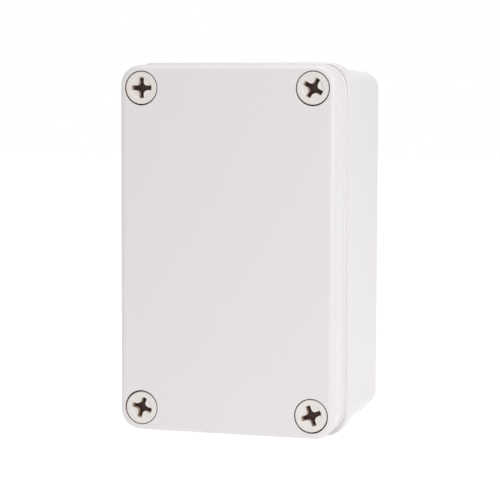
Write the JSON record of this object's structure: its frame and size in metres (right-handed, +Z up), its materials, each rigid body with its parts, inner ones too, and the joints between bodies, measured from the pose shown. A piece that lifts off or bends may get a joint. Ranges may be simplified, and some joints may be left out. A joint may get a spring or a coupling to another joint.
{
  "type": "plastic project box",
  "caption": "Upright rectangular plastic enclosure: a drafted tub with a rim flange, a deep rounded lid, and captive cross-recess screws in wells at the lid's corners.",
  "frame": {"origin": "centre of the box's footprint, at the lowest point of the end that it stands on", "axes": "+Z up along the box's height, -Y out of the lid's face, +Y out of the wall face, +X to the right seen from the lid's side"},
  "size_m": [0.08, 0.07, 0.13],
  "materials": {
    "base_plastic": "light warm grey moulded ABS, smooth with a soft gloss",
    "lid_plastic": "light warm grey moulded ABS, smooth with a soft gloss",
    "gasket_rubber": "matt black rubber",
    "screw_plastic": "ivory polyamide, satin",
    "ring_plastic": "natural polyamide",
    "insert_brass": "turned brass"
  },
  "bodies": {
    "base": {"base": "base_plastic", "threaded_insert_tl": "insert_brass", "threaded_insert_tr": "insert_brass", "threaded_insert_bl": "insert_brass", "threaded_insert_br": "insert_brass"},
    "lid": {"lid": "lid_plastic", "gasket": "gasket_rubber"},
    "retaining_ring_tl": {"retaining_ring_tl": "ring_plastic"},
    "lid_screw_tl": {"lid_screw_tl": "screw_plastic"},
    "retaining_ring_tr": {"retaining_ring_tr": "ring_plastic"},
    "lid_screw_tr": {"lid_screw_tr": "screw_plastic"},
    "retaining_ring_bl": {"retaining_ring_bl": "ring_plastic"},
    "lid_screw_bl": {"lid_screw_bl": "screw_plastic"},
    "retaining_ring_br": {"retaining_ring_br": "ring_plastic"},
    "lid_screw_br": {"lid_screw_br": "screw_plastic"}
  },
  "joints": [
    {"name": "lid_lift", "type": "slide", "parent": "base", "child": "lid", "axis": [0, -1, 0], "range_m": [0, 0.07]},
    {"name": "screw_rise_tl", "type": "slide", "parent": "lid", "child": "retaining_ring_tl", "axis": [0, -1, 0], "range_m": [0, 0.006]},
    {"name": "screw_turn_tl", "type": "hinge", "parent": "retaining_ring_tl", "child": "lid_screw_tl", "pos_m": [-0.031, -0.03, 0.121], "axis": [0, -1, 0], "range_deg": [0, 2700]},
    {"name": "screw_rise_tr", "type": "slide", "parent": "lid", "child": "retaining_ring_tr", "axis": [0, -1, 0], "range_m": [0, 0.006]},
    {"name": "screw_turn_tr", "type": "hinge", "parent": "retaining_ring_tr", "child": "lid_screw_tr", "pos_m": [0.031, -0.03, 0.121], "axis": [0, -1, 0], "range_deg": [0, 2700]},
    {"name": "screw_rise_bl", "type": "slide", "parent": "lid", "child": "retaining_ring_bl", "axis": [0, -1, 0], "range_m": [0, 0.006]},
    {"name": "screw_turn_bl", "type": "hinge", "parent": "retaining_ring_bl", "child": "lid_screw_bl", "pos_m": [-0.031, -0.03, 0.009], "axis": [0, -1, 0], "range_deg": [0, 2700]},
    {"name": "screw_rise_br", "type": "slide", "parent": "lid", "child": "retaining_ring_br", "axis": [0, -1, 0], "range_m": [0, 0.006]},
    {"name": "screw_turn_br", "type": "hinge", "parent": "retaining_ring_br", "child": "lid_screw_br", "pos_m": [0.031, -0.03, 0.009], "axis": [0, -1, 0], "range_deg": [0, 2700]}
  ],
  "couplings": [
    {"joint": "screw_turn_tl", "follows": "screw_rise_tl", "rad_per_m": 7854},
    {"joint": "screw_turn_tr", "follows": "screw_rise_tr", "rad_per_m": 7854},
    {"joint": "screw_turn_bl", "follows": "screw_rise_bl", "rad_per_m": 7854},
    {"joint": "screw_turn_br", "follows": "screw_rise_br", "rad_per_m": 7854}
  ]
}
